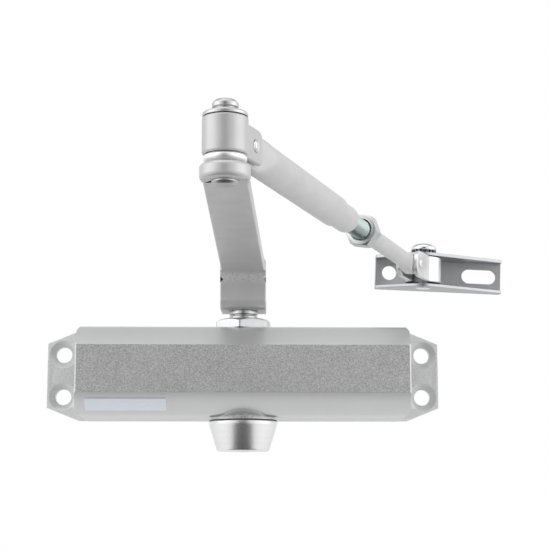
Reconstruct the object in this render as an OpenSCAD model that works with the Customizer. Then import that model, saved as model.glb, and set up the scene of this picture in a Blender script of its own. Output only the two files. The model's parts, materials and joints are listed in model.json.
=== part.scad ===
// Surface-mounted rack-and-pinion door closer with a folding arm and an adjustable forearm.
// Millimetres. Origin: centre of the four body screw holes, on the back face of the body.
// +X runs along the body, -Y is the front (away from the door), +Z is up, along the pinion.

/* [Body] */
// Screw spacing along the body
hole_pitch_x = 162; // [156:1:190]
// Screw spacing across the body
hole_pitch_z = 19; // [16:0.5:24]
// Length of the casting between its end faces
body_len = 143.6; // [140:0.2:148]
// Height of the casting at the door
body_h = 40.4; // [39.6:0.2:46]
// Height of the flat front face
face_h = 20.2; // [16:0.2:26]
// Depth from the door to the front face
body_depth = 45.4; // [43:0.2:52]
// Depth from the door to the edge where the casting starts to narrow
shoulder_depth = 33; // [31:0.1:36]
// Outward bulge of the sloping faces
slope_crown = 0.6; // [0:0.1:1.2]
// Thickness of the fixing lugs
lug_t = 6; // [5:0.5:7]
// Height of a lug at its tip
lug_tip_h = 28.8; // [27:0.2:34]
// Distance from a screw hole to the tip of its lug
lug_edge = 7; // [6.5:0.5:10]
// Diameter of the screw holes
screw_hole_d = 7.2; // [4.5:0.1:7.6]
// Diameter of the countersinks
countersink_d = 12.2; // [10:0.1:12.6]

/* [Cylinder] */
// Depth from the door to the axis of the cylinder and of the pinion
cyl_depth = 21; // [20:0.1:23]
// Bore of the cylinder
bore_d = 27; // [25:0.1:27.6]
// Diameter of the end plugs
plug_d = 30; // [29:0.2:31]
// Length of the end plugs
plug_len = 11; // [9:0.5:13]
// Wire diameter of the closing spring
spring_wire_d = 3.8; // [3:0.1:4.2]
// Diameter of the regulating screws
valve_d = 5; // [4:0.1:5.4]
// Distance between the two regulating screws
valve_pitch = 10; // [9:0.5:12]

/* [Pinion] */
// Number of pinion teeth
gear_teeth = 10; // [10:1:12]
// Gear module
gear_module = 1.3; // [1.2:0.05:1.35]
// Diameter of the pinion's journals
journal_d = 12.6; // [11:0.1:13]
// Width across the flats of the pinion's square ends
square_af = 8.6; // [7:0.1:8.8]
// Width across the flats of the gland nut
gland_af = 22.5; // [20.6:0.1:24]
// Diameter of the gland thread
gland_d = 20; // [18:0.5:20]
// Largest diameter of the spindle cap
cap_d = 30.4; // [28:0.2:34]
// Height of the spindle cap below the body
cap_h = 13.5; // [13:0.1:18]

/* [Main arm] */
// Distance from the pinion axis to the elbow axis
arm_reach = 189.3; // [150:0.5:240]
// Width of the arm at the pinion
arm_w = 20; // [18:0.1:24]
// Width of the arm just before its round end
arm_tip_w = 14; // [12:0.1:16]
// Diameter of the arm's round end
arm_eye_d = 15.8; // [15:0.1:20]
// Thickness of the arm
arm_t = 5.1; // [4.5:0.1:6.5]
// Gap between the body and the underside of the arm's hub
hub_lift = 7.1; // [5:0.1:9]
// Rise of the crank from the hub to the straight part
arm_rise = 16.3; // [14:0.1:24]
// Fall of the straight part towards the elbow
arm_droop = 1; // [0:0.1:2]

/* [Elbow] */
// Diameter of the elbow rivet's shank
elbow_pin_d = 6; // [5:0.1:7]
// Outside diameter of the knuckle's barrel
barrel_d = 14.4; // [13.6:0.1:17]
// Height of the knuckle's barrel
barrel_h = 11.8; // [11:0.1:15]
// Distance from the elbow axis to the fork pin
fork_reach = 13; // [12:0.1:16]
// Diameter of the fork pin
fork_pin_d = 3.6; // [3:0.1:5]

/* [Forearm] */
// Distance from the fork pin to the yoke pin
forearm_len = 183.4; // [174:0.5:200]
// Outside diameter of the forearm tube
tube_d = 11.8; // [10.8:0.1:14]
// Length of the tube beyond the fork pin
tube_len = 100; // [85:0.5:105]
// Diameter of the threaded rod
rod_d = 7.9; // [7:0.1:8.2]
// Diameter of the rod's plain part
shank_d = 7.1; // [6:0.1:7.8]
// Width across the flats of the jam nut
jam_nut_af = 12; // [11:0.5:14]
// Thickness of the jam nut
jam_nut_h = 6.2; // [4:0.1:7]

/* [Foot] */
// Length of the foot bracket
foot_len = 58; // [54:0.2:70]
// Height of the foot bracket over its flanges
foot_h = 15.6; // [13.6:0.1:18]
// Thickness of the foot bracket's sheet
foot_t = 1.5; // [1.3:0.1:2.2]
// Depth of the flanges at the bracket's ends
flange_end_depth = 5; // [4:0.1:12]
// Distance from the bracket's back face to its rivet
rivet_setback = 12.4; // [12:0.1:15]
// Distance from the round hole to the middle of the slot
foot_hole_pitch = 41.4; // [38:0.1:46]
// Diameter of the round hole and width of the slot
foot_hole_d = 6.5; // [4:0.1:7]
// Length of the slot, end to end
foot_slot_len = 15.6; // [10:0.1:16]
// Distance from the yoke pin to the bracket's rivet
yoke_reach = 20; // [18:0.1:26]
// Thickness of the yoke's strap
strap_t = 2; // [1.5:0.1:2.4]

/* [Hidden] */
$fn = 64;

// Clearances
run_gap = 0.05;  // radial gap of a running or screwed fit
face_gap = 0.3;  // gap between faces that turn past each other
slip = 0.1;      // gap round a piece that is laid in a seat

// Stored pose
arm_turn = -1.8;      // the arm points to the front, a little to the left
fold = -22;           // forearm against the main arm
forearm_pitch = -2.75;   // the forearm dips towards the foot
rod_roll = 2.6;       // the rod is screwed round by this much in its tube

// Casting
half_len = body_len / 2;
half_h = body_h / 2;
end_draft = 0.7;       // the end faces lean in by this much at the front
corner_x = 1.8;        // cast corners seen from the front
corner_z = 3.8;
edge_bevel = 0.5;
body_draft = 1;        // the top and bottom lean in by this much at the shoulder
shoulder_h = half_h - body_draft;
lug_root_drop = 0.1;   // the lug's slope starts this far inside the casting's edge
lug_root_out = 2.2;    // and this far beyond its end

// Cylinder
bore_end = half_len - plug_len;
piston_d = bore_d - 2 * run_gap;
gear_r = gear_teeth * gear_module / 2;
swing = 120;                              // degrees that the pinion turns
stroke = gear_r * swing * PI / 180;
pressure_angle = 20;
backlash = 0.2;
pinion_addendum = 0.8 * gear_module;
rack_addendum = 0.55 * gear_module;
root_gap = 0.3;
gear_tip_r = gear_r + pinion_addendum;
gear_root_r = gear_r - rack_addendum - root_gap;
window_side = gear_tip_r + 0.5;
window_x0 = -gear_tip_r - 1.5;
window_x1 = gear_tip_r + 1.5 + stroke;
piston_head = 12;                         // solid end of the piston, on the spring's side
piston_x0 = window_x0 - piston_head;
piston_x1 = bore_end - 1;
ball_d = 4.6;
seal_d = 2;                               // section of the sealing rings

// Pinion stack
bearing_z0 = bore_d / 2 + face_gap;
gland_sink = 1;
gland_z = half_h - gland_sink;            // bottom of the gland nut's seat
seal_room = 2.5;
bearing_h = gland_z - bearing_z0 - seal_room;
bearing_d = gland_d - 2;
nut_h = 4.1;
cap_seat_z = -(half_h + 0.5);
hub_z = half_h + hub_lift;
square_len = arm_t - 0.5;
screw_d = 5;                              // arm screw
arm_screw_len = 12;

// Main arm
arm_z = hub_z + arm_rise;                 // underside of the straight part
crank_top_z = arm_z + arm_t;
arm_top_z = crank_top_z - arm_droop;      // at the elbow
hub_back = 9.5;                           // the hub ends this far behind the pinion
riser_front = 10.6;                       // front face of the riser from the pinion axis
outer_bend_r = 5;
inner_bend_r = 0.8;
arm_root_w = arm_w - 1.2;                 // width of the straight part at the crank

// Elbow stack, heights above the arm's top face
elbow_washer_h = 2.9;
elbow_washer_d = barrel_d - 0.8;
barrel_z0 = elbow_washer_h;
barrel_z1 = barrel_z0 + barrel_h;
cone_h = 2.2;
neck_h = 0.8;
neck_d = 7;
elbow_head_d = 8.5;
elbow_head_h = 2.65;
elbow_foot_h = 1.6;
bush_d = elbow_pin_d + 4;
fork_pin_z = barrel_z0 + barrel_h / 2 - 0.4;
leg_t = 2.1;
tab_t = 5;                                // thickness of the flattened ends
tube_tab_h = 12.6;
tube_tab_back = 4.6;                      // the flattened end runs this far behind its pin
leg_half = tab_t / 2 + face_gap + leg_t;
leg_tail = 5.5;                           // the legs run this far past the pin

// Forearm
tube_flare_end = 14;
nose_len = 16;
nose_start = tube_len - nose_len;
nose_d = tube_d - 1.4;
nose_round = 2.6;
jam_nut_y = 115.5;
rod_bore_depth = 42;                      // thread depth in the tube
rod_start_y = tube_len - rod_bore_depth + 6;
thread_end_y = 126.5;
rod_tab_h = 8.8;
rod_flare = 9;

// Foot
loop_r = 8;                               // outside of the yoke's loop
yoke_h = foot_h - 2 * foot_t - 4 * face_gap;
yoke_half = tab_t / 2 + face_gap + strap_t;
yoke_fillet = 4;
yoke_pin_d = 4;
foot_rivet_d = 6;
foot_left = 20.8;                         // from the rivet to the bracket's left end
foot_right = foot_len - foot_left;
foot_hole_x = -14.3;
flange_nose_r = 6.4;                      // round of the flanges about the rivet
rivet_head_d = 11.6;
rivet_head_h = 3.4;
toothed_h = 1.3;

// Label
label_len = 34.6;
label_inset = 4.6;                        // from the left end of the casting
label_w = 8.2;
label_drop = 3.5;                         // from the front edge, down the slope
label_t = 0.3;

// ---------- places ----------

// Lays a shape drawn in (Y, Z) along X, centred
module along_x(len) rotate([90, 0, 90]) linear_extrude(len, center = true) children();
// A cylinder along X from x0 to x1
module rod_x(d, x0, x1) translate([x0, 0, 0]) rotate([0, 90, 0]) cylinder(d = d, h = x1 - x0);
// A cylinder along Y from y0 to y1
module rod_y(d, y0, y1) translate([0, y0, 0]) rotate([-90, 0, 0]) cylinder(d = d, h = y1 - y0);
module at_pinion() translate([0, -cyl_depth, 0]) children();
module at_arm() at_pinion() rotate([0, 0, arm_turn]) children();
// Local +Y points along the forearm and z = 0 is the arm's top face
module at_elbow() at_arm() translate([0, -arm_reach, arm_top_z]) rotate([0, 0, fold]) children();
module at_forearm() at_elbow() translate([0, fork_reach, fork_pin_z])
    rotate([forearm_pitch, 0, 0]) children();
module at_rod() at_forearm() rotate([0, rod_roll, 0]) children();
module at_yoke() at_rod() translate([0, forearm_len, 0])
    rotate([-forearm_pitch, 0, 0]) children();
module at_foot() at_yoke() translate([0, yoke_reach, 0])
    rotate([0, 0, -arm_turn - fold]) children();

// A sealing ring round the Z axis
module seal_ring(r, z) translate([0, 0, z]) rotate_extrude() translate([r, 0])
    circle(d = seal_d, $fn = 24);
// A round groove for a sealing ring
module seal_groove(r, z) translate([0, 0, z]) rotate_extrude()
    translate([r, 0]) square(seal_d + 2 * slip, center = true);
module hexagon_bar(af, h) cylinder(d = af / cos(30), h = h, $fn = 6);

// ---------- casting ----------

// Height of the upper surface at a depth in front of the door: a drafted top, a crowned slope,
// and a soft shoulder between them, which reaches shoulder_soft to each side
shoulder_soft = 2;
function drafted_z(depth) = half_h - body_draft * depth / shoulder_depth;
function crowned_z(depth) = let (t = (depth - shoulder_depth) / (body_depth - shoulder_depth))
    shoulder_h - (shoulder_h - face_h / 2) * t + 4 * slope_crown * t * (1 - max(t, 0));
function slope_z(depth) = let (a = drafted_z(depth), b = crowned_z(depth), k = shoulder_soft / 2)
    min(a, b) - pow(max(k - abs(a - b), 0), 2) / (4 * k);
slope_depths = concat([for (i = [-4:4]) shoulder_depth + shoulder_soft * i / 4],
    [for (i = [1:8]) shoulder_depth + shoulder_soft
        + (body_depth - shoulder_depth - shoulder_soft) * i / 8]);
slope_steps = len(slope_depths) - 1;
module body_section() polygon(concat(
    [[0, half_h]], [for (i = [0:slope_steps]) [-slope_depths[i], slope_z(slope_depths[i])]],
    [for (i = [slope_steps:-1:0]) [-slope_depths[i], -slope_z(slope_depths[i])]],
    [[0, -half_h]]));

// The casting seen from the front, with its cut corners
module body_front() polygon([for (s = [[1, 1], [-1, 1], [-1, -1], [1, -1]])
    each let (a = [s.x * (half_len - corner_x), s.y * half_h],
              b = [s.x * half_len, s.y * (half_h - corner_z)])
        s.x * s.y > 0 ? [b, a] : [a, b]]);

// The casting seen from above, with draft and bevelled front corners
module body_plan() polygon([
    [-half_len, 0], [-half_len, -shoulder_depth],
    [-half_len + end_draft, -body_depth + edge_bevel],
    [-half_len + end_draft + edge_bevel, -body_depth],
    [half_len - end_draft - edge_bevel, -body_depth],
    [half_len - end_draft, -body_depth + edge_bevel],
    [half_len, -shoulder_depth], [half_len, 0]]);

module body_block() intersection() {
    along_x(body_len) body_section();
    rotate([90, 0, 0]) linear_extrude(body_depth) body_front();
    translate([0, 0, -half_h]) linear_extrude(body_h) body_plan();
}

// Round boss that carries the cap: its wall, a fillet that follows the surface it stands on,
// and a foot inside the casting. Rings of points run about the pinion axis.
boss_fillet = 1.6;
boss_rings = 7;
boss_angles = [for (a = [0:7.5:352.5]) a];
function boss_ground(r, a) = slope_z(cyl_depth - r * sin(a));
function boss_fit(r, seat, a) = max(0.05, min(boss_fillet, 0.8 * (seat - boss_ground(r, a))));
function boss_point(r, seat, a, j) = let (
    f = boss_fit(r, seat, a), p = 90 * (j - 1) / (boss_rings - 3), foot = j > boss_rings - 2,
    ring_r = j == 0 ? r : foot ? r + f + 0.4 : r + f * (1 - cos(p)),
    ring_z = boss_ground(ring_r, a) + (foot ? -0.3 : f * (1 - sin(p))))
    [ring_r * cos(a), ring_r * sin(a),
     j == 0 ? seat : j == boss_rings ? face_h / 2 : min(ring_z, seat - 0.02 * j)];
module boss(r, seat) {
    n = len(boss_angles);
    polyhedron(
        points = [for (j = [0:boss_rings], a = boss_angles) boss_point(r, seat, a, j)],
        faces = concat(
            [[for (i = [n - 1:-1:0]) i]], [[for (i = [0:n - 1]) boss_rings * n + i]],
            [for (j = [0:boss_rings - 1], i = [0:n - 1], half = [0, 1])
                let (k = (i + 1) % n, a = j * n, b = a + n)
                    half == 0 ? [a + i, a + k, b + k] : [a + i, b + k, b + i]]));
}

// The plate that makes both lugs
module lug_plate() rotate([90, 0, 0]) linear_extrude(lug_t) polygon([
    for (s = [[1, 1], [-1, 1], [-1, -1], [1, -1]])
        each let (tip = [s.x * (hole_pitch_x / 2 + lug_edge), s.y * lug_tip_h / 2],
                  root = [s.x * (half_len + lug_root_out), s.y * (half_h - lug_root_drop)])
            s.x * s.y > 0 ? [tip, root] : [root, tip]]);

module screw_holes() for (x = [-1, 1], z = [-1, 1])
    translate([x * hole_pitch_x / 2, 0, z * hole_pitch_z / 2]) rotate([90, 0, 0]) {
        translate([0, 0, -1]) cylinder(d = screw_hole_d, h = lug_t + 2);
        translate([0, 0, lug_t - (countersink_d - screw_hole_d) / 2])
            cylinder(d1 = screw_hole_d, d2 = countersink_d,
                     h = (countersink_d - screw_hole_d) / 2);
        translate([0, 0, lug_t]) cylinder(d = countersink_d, h = 1);
    }

valve_inset = 4.4;
valve_y = valve_inset - body_depth;
valve_len = 20;
// One place per regulating screw, drawn along -X from the right end face
module at_valve(side) translate([half_len - end_draft, valve_y, side * valve_pitch / 2])
    rotate([0, -90, 0]) children();

module body() color("silver") difference() {
    union() {
        body_block();
        lug_plate();
        at_pinion() mirror([0, 0, 1]) boss(cap_d / 2 - 1, -cap_seat_z);
    }
    screw_holes();
    translate([0, -cyl_depth, 0]) {
        rod_x(bore_d, -half_len - 1, half_len + 1);
        for (s = [-1, 1]) rod_x(plug_d, s > 0 ? bore_end : -half_len - 1,
                                s > 0 ? half_len + 1 : -bore_end);
    }
    at_pinion() {
        cylinder(d = bearing_d, h = half_h + 1);
        mirror([0, 0, 1]) cylinder(d = bearing_d, h = half_h + 1);
        for (m = [0, 1]) mirror([0, 0, m])
            translate([0, 0, bearing_z0 + bearing_h]) cylinder(d = gland_d, h = half_h);
        translate([0, 0, gland_z]) cylinder(d = gland_af / cos(30) + 2 * face_gap, h = half_h);
    }
    for (s = [-1, 1]) at_valve(s)
        translate([0, 0, -2]) cylinder(d = valve_d + 2 * run_gap, h = valve_len + 2);
}

// The blank plate stuck on the lower slope, near the left end, bent to the slope's crown
module label_plate() color("gainsboro") intersection() {
    translate([-half_len + label_inset, -body_depth, -face_h / 2])
        rotate([90 + atan2(body_depth - shoulder_depth, shoulder_h - face_h / 2), 0, 0])
            translate([0, -label_drop - label_w, -1]) linear_extrude(slope_crown + 2)
                difference() {
                    square([label_len, label_w]);
                    for (x = [0, 1], y = [0, 1]) translate([x * label_len, y * label_w])
                        mirror([x, 0]) mirror([0, y]) difference() {
                            square(1);
                            translate([1, 1]) circle(1, $fn = 24);
                        }
                }
    difference() {
        translate([0, -label_t * 0.4, -label_t]) along_x(body_len) body_section();
        along_x(body_len + 2) body_section();
    }
}

// ---------- cylinder ----------

plug_groove_x = bore_end + 4;
module end_plug(side) mirror([side < 0 ? 1 : 0, 0, 0]) translate([0, -cyl_depth, 0]) difference() {
    rod_x(plug_d - 2 * run_gap, bore_end, half_len - end_draft);
    // square drive and four spanner holes
    translate([half_len - 5, -5, -5]) cube([6, 10, 10]);
    rotate([0, 90, 0]) seal_groove(plug_d / 2 - seal_d / 2, plug_groove_x);
    for (a = [45:90:315]) rotate([a, 0, 0]) translate([half_len - 4, plug_d / 2 - 4.5, 0])
        rotate([0, 90, 0]) cylinder(d = 2.6, h = 6, $fn = 24);
}
module left_end_plug() color("dimgray") end_plug(-1);
module right_end_plug() color("dimgray") end_plug(1);
module plug_seals() color("black") for (s = [-1, 1])
    translate([0, -cyl_depth, 0]) rotate([0, 90, 0])
        seal_ring(plug_d / 2 - seal_d / 2 - slip / 2, s * plug_groove_x);

valve_groove = 12;
module valve_screw(side) at_valve(side) difference() {
    union() {
        translate([0, 0, 0.5]) cylinder(d = valve_d, h = valve_len - 3);
        translate([0, 0, valve_len - 2.5]) cylinder(d1 = valve_d, d2 = valve_d - 2.5, h = 2);
    }
    translate([-0.5, -valve_d, 0]) cube([1, 2 * valve_d, 2]);
    translate([0, 0, valve_groove]) rotate_extrude() translate([valve_d / 2 - 0.6, -0.7])
        square([2, 1.4]);
}
module closing_speed_valve() color("goldenrod") valve_screw(1);
module latching_valve() color("goldenrod") valve_screw(-1);
module valve_seals() color("black") for (s = [-1, 1]) at_valve(s)
    translate([0, 0, valve_groove]) rotate_extrude() translate([valve_d / 2 - 0.3, 0])
        circle(r = 0.28, $fn = 16);

// Half the width of a rack tooth at height h above its pitch line
function rack_half(h) = gear_module * PI / 4 - backlash / 2 - h * tan(pressure_angle);
rack_root = pinion_addendum + root_gap;
rack_y = gear_r;                     // pitch line behind the pinion axis
rack_pitch = PI * gear_module;
first_tooth = ceil((window_x0 + 1) / rack_pitch - 0.5);
last_tooth = floor((window_x1 - 1) / rack_pitch - 0.5);

// The window that the pinion passes through, with the rack along its back
module rack_window() difference() {
    translate([window_x0, -window_side])
        square([window_x1 - window_x0, window_side + rack_y + rack_root]);
    for (i = [first_tooth:last_tooth]) translate([(i + 0.5) * rack_pitch, rack_y])
        polygon([[-rack_half(-rack_root - 1), rack_root + 1],
                 [-rack_half(rack_addendum), -rack_addendum],
                 [rack_half(rack_addendum), -rack_addendum],
                 [rack_half(-rack_root - 1), rack_root + 1]]);
}

piston_groove_x = piston_x1 - 6;
recess_d = 16;
recess_x = window_x1 + 8;
module piston() color("lightslategray") translate([0, -cyl_depth, 0]) difference() {
    rod_x(piston_d, piston_x0, piston_x1);
    translate([0, 0, -bore_d / 2]) linear_extrude(bore_d) rack_window();
    rod_x(recess_d, recess_x, piston_x1 + 1);
    rod_x(3, window_x1 - 1, recess_x + 1);
    rod_x(ball_d + 2 * slip, window_x1 + 3, recess_x + 1);
    rotate([0, 90, 0]) seal_groove(bore_d / 2 - seal_d / 2 - slip, piston_groove_x);
    rotate([0, 90, 0]) seal_groove(bore_d / 2 - seal_d / 2 - slip, piston_x0 + 5);
}
module piston_seals() color("black") translate([0, -cyl_depth, 0]) rotate([0, 90, 0])
    for (x = [piston_x0 + 5, piston_groove_x])
        seal_ring(bore_d / 2 - seal_d / 2 - slip, x);
module check_ball() color("silver")
    translate([window_x1 + 3 + ball_d / 2 + slip, -cyl_depth, 0]) sphere(d = ball_d, $fn = 32);
module ball_retainer() color("goldenrod") translate([0, -cyl_depth, 0]) difference() {
    rod_x(recess_d - 2 * run_gap, recess_x, recess_x + 2);
    rod_x(2, recess_x - 1, recess_x + 3);
}

// Closing spring: a round wire swept along a helix, its ends cut flat by the plug and the piston
spring_r = bore_d / 2 - 1 - spring_wire_d / 2;
spring_x0 = -bore_end + spring_wire_d / 2 + 0.1;
spring_x1 = piston_x0 - spring_wire_d / 2 - 0.1;
spring_turns = 5.5;
spring_steps = 16;                   // rings in one turn
spring_sides = 8;
spring_rings = spring_turns * spring_steps;
// Closed end turns, open middle: share of the length at a share of the turns
function spring_run(t) = let (e = 1 / spring_turns, s = spring_wire_d / (spring_x1 - spring_x0))
    t < e ? t / e * s : t > 1 - e ? 1 - (1 - t) / e * s : s + (t - e) / (1 - 2 * e) * (1 - 2 * s);
function spring_point(i, k) = let (t = i / spring_rings, a = 360 * spring_turns * t,
                                   b = 360 * k / spring_sides,
                                   r = spring_r + spring_wire_d / 2 * cos(b))
    [spring_x0 + (spring_x1 - spring_x0) * spring_run(t) + spring_wire_d / 2 * sin(b),
     r * cos(a), r * sin(a)];
module closing_spring() color("dimgray") translate([0, -cyl_depth, 0]) polyhedron(
    points = [for (i = [0:spring_rings], k = [0:spring_sides - 1]) spring_point(i, k)],
    faces = concat(
        [[for (k = [0:spring_sides - 1]) k]],
        [[for (k = [spring_sides - 1:-1:0]) spring_rings * spring_sides + k]],
        [for (i = [0:spring_rings - 1], k = [0:spring_sides - 1])
            let (n = (k + 1) % spring_sides, a = i * spring_sides, b = a + spring_sides)
                [a + k, b + k, b + n, a + n]]));

// ---------- pinion ----------

base_r = gear_r * cos(pressure_angle);
// Polar angle of the involute at radius r, from where it leaves the base circle
function involute(r) = let (t = sqrt(max(0, pow(r / base_r, 2) - 1))) t * 180 / PI - atan(t);
half_tooth = 90 / gear_teeth - backlash / 2 / gear_r * 180 / PI / 2;
function flank_angle(r) = half_tooth + involute(gear_r) - involute(max(r, base_r));
flank_radii = [gear_root_r, base_r, base_r + (gear_tip_r - base_r) / 4,
               base_r + (gear_tip_r - base_r) / 2, base_r + (gear_tip_r - base_r) * 3 / 4,
               gear_tip_r];
// Involute teeth, the first one pointing along +Y into the rack
module gear_outline() polygon([for (i = [0:gear_teeth - 1])
    let (mid = 90 + i * 360 / gear_teeth)
        each concat(
            [for (r = flank_radii) r * [cos(mid - flank_angle(r)), sin(mid - flank_angle(r))]],
            [for (j = [len(flank_radii) - 1:-1:0]) let (r = flank_radii[j])
                r * [cos(mid + flank_angle(r)), sin(mid + flank_angle(r))]])]);

// A square end, turned with the arm, its corners rounded by the shaft it is milled from
module square_end(z, h) rotate([0, 0, arm_turn]) translate([0, 0, z]) intersection() {
    translate([-square_af / 2, -square_af / 2, 0]) cube([square_af, square_af, h]);
    cylinder(d = journal_d - 0.6, h = h);
}
seal_z = bearing_z0 + bearing_h + 1.3;
module pinion() color("lightgray") at_pinion() difference() {
    union() {
        translate([0, 0, -bearing_z0]) linear_extrude(2 * bearing_z0) gear_outline();
        translate([0, 0, bearing_z0]) cylinder(d = journal_d, h = hub_z - bearing_z0);
        translate([0, 0, -half_h - 2]) cylinder(d = journal_d, h = half_h + 2 - bearing_z0);
        square_end(hub_z - 1, square_len + 1);
        square_end(-half_h - 2 - square_len, square_len + 1);
    }
    translate([0, 0, hub_z + square_len - arm_screw_len - 1])
        cylinder(d = screw_d + 2 * run_gap, h = arm_screw_len + 2);
    translate([0, 0, -half_h - 3 - square_len]) cylinder(d = screw_d, h = arm_screw_len);
    for (s = [-1, 1]) seal_groove(journal_d / 2 - seal_d / 2 + 0.6, s * seal_z);
    // neck between the two rings that show under the arm
    translate([0, 0, hub_z - 2.4]) rotate_extrude() translate([journal_d / 2 - 0.8, 0])
        square([2, 0.7]);
}

module bearing() difference() {
    translate([0, 0, bearing_z0]) cylinder(d = bearing_d - 2 * run_gap, h = bearing_h);
    cylinder(d = journal_d + 2 * run_gap, h = half_h);
}
module upper_bearing() color("goldenrod") at_pinion() bearing();
module lower_bearing() color("goldenrod") at_pinion() mirror([0, 0, 1]) bearing();
module pinion_seals() color("black") at_pinion() for (s = [-1, 1])
    translate([0, 0, s * seal_z]) rotate_extrude()
        translate([journal_d / 2 - seal_d / 2 + 0.6, 0]) circle(d = seal_d, $fn = 24);

// Hexagon with turned corners on top and a threaded neck that holds the bearing down
gland_turn = -8.3;
module gland_nut() color("silver") at_pinion() difference() {
    union() {
        translate([0, 0, gland_z]) rotate([0, 0, 30 + gland_turn]) intersection() {
            hexagon_bar(gland_af, nut_h);
            union() {
                cylinder(d = gland_af / cos(30) + 0.1, h = nut_h - 1.4);
                translate([0, 0, nut_h - 1.4])
                    cylinder(d1 = gland_af / cos(30) + 0.1, d2 = gland_af - 2.4, h = 1.4);
            }
        }
        translate([0, 0, bearing_z0 + bearing_h])
            cylinder(d = gland_d - 2 * run_gap, h = gland_z - bearing_z0 - bearing_h);
    }
    translate([0, 0, bearing_z0]) cylinder(d = journal_d + 2 * run_gap, h = half_h);
    translate([0, 0, seal_z - seal_d / 2 - slip]) cylinder(
        d = journal_d + 1.2 + 2 * slip, h = seal_d + 2 * slip);
}

// Turned cup that closes the unused end of the pinion and screws into the lower gland thread
cap_bottom_d = 22.8;
cap_wall = 2;
cap_edge_r = 1.2;
cap_rim_h = 1.6;
module spindle_cap() color("silver") at_pinion() difference() {
    union() {
        rotate_extrude() polygon(concat(
            [[0, cap_seat_z], [cap_d / 2, cap_seat_z], [cap_d / 2 - 0.2, cap_seat_z - cap_rim_h]],
            [for (a = [20:-10:-90]) [cap_bottom_d / 2 - cap_edge_r + cap_edge_r * cos(a),
                                     cap_seat_z - cap_h + cap_edge_r + cap_edge_r * sin(a)]],
            [[0, cap_seat_z - cap_h]]));
        translate([0, 0, cap_seat_z])
            cylinder(d = gland_d - 2 * run_gap, h = -cap_seat_z - bearing_z0 - bearing_h);
    }
    translate([0, 0, cap_seat_z - cap_h + cap_wall])
        cylinder(d = journal_d + 2 * run_gap, h = half_h);
    translate([0, 0, -seal_z - seal_d / 2 - slip]) cylinder(
        d = journal_d + 1.2 + 2 * slip, h = seal_d + 2 * slip);
}

// ---------- main arm ----------

// Points of a round corner of radius r about c, from angle a0 to a1
function corner(c, r, a0, a1, n = 6) = [for (i = [0:n])
    let (a = a0 + (a1 - a0) * i / n) c + r * [cos(a), sin(a)]];

// The crank seen from the side: x is the distance in front of the pinion, y is the height
module arm_side() {
    top = hub_z + arm_t;
    back = riser_front - arm_t;
    polygon(concat(
        [[-hub_back, top], [-hub_back, hub_z]],
        corner([riser_front - outer_bend_r, hub_z + outer_bend_r], outer_bend_r, -90, 0),
        corner([riser_front + inner_bend_r, arm_z - inner_bend_r], inner_bend_r, 180, 90, 4),
        [for (p = [[-1, 0], [1, 0], [1, arm_t], [-1, arm_t]])
            [arm_reach + p.x * arm_eye_d, arm_z - arm_droop + p.y]],
        corner([back + outer_bend_r, crank_top_z - outer_bend_r], outer_bend_r, 90, 180),
        corner([back - inner_bend_r, top + inner_bend_r], inner_bend_r, 0, -90, 4)));
}

// The arm seen from above, pointing along -Y
module arm_plan() {
    root_y = -riser_front - 0.8;
    difference() {
        union() {
            polygon([[-arm_w / 2, hub_back + 1], [-arm_w / 2, root_y],
                     [-arm_root_w / 2, root_y - 2.6],
                     [-arm_tip_w / 2, -arm_reach], [arm_tip_w / 2, -arm_reach],
                     [arm_root_w / 2, root_y - 2.6], [arm_w / 2, root_y],
                     [arm_w / 2, hub_back + 1]]);
            translate([0, -arm_reach]) circle(d = arm_eye_d);
        }
        translate([0, -arm_reach]) circle(d = elbow_pin_d);
    }
}

notch = 1.5;   // depth of the small relief cuts beside the upper bend
module main_arm() color("darkgray") at_arm() difference() {
    intersection() {
        rotate([90, 0, -90]) linear_extrude(arm_w + 1, center = true) arm_side();
        translate([0, 0, hub_z - 1]) linear_extrude(crank_top_z - hub_z + 2) arm_plan();
    }
    translate([-square_af / 2 - run_gap, -square_af / 2 - run_gap, hub_z - 1])
        cube([square_af + 2 * run_gap, square_af + 2 * run_gap, arm_t + 2]);
    for (s = [-1, 1]) translate([s * arm_w / 2, -riser_front - 1, arm_z - 3.4])
        rotate([0, 45, 0]) cube([notch * 1.4, arm_t + 6, notch * 1.4], center = true);
}

washer_t = 1.5;
washer_d = 8.4;
screw_head_af = 8;
screw_head_h = 3.6;
module arm_washer() color("silver") at_arm() translate([0, 0, hub_z + arm_t]) difference() {
    cylinder(d = washer_d, h = washer_t);
    translate([0, 0, -1]) cylinder(d = screw_d + 0.4, h = washer_t + 2);
}
module arm_screw() color("silver") at_arm() translate([0, 0, hub_z + arm_t + washer_t]) {
    hexagon_bar(screw_head_af, screw_head_h);
    translate([0, 0, -arm_screw_len]) cylinder(d = screw_d, h = arm_screw_len);
}

// ---------- elbow ----------

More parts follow.
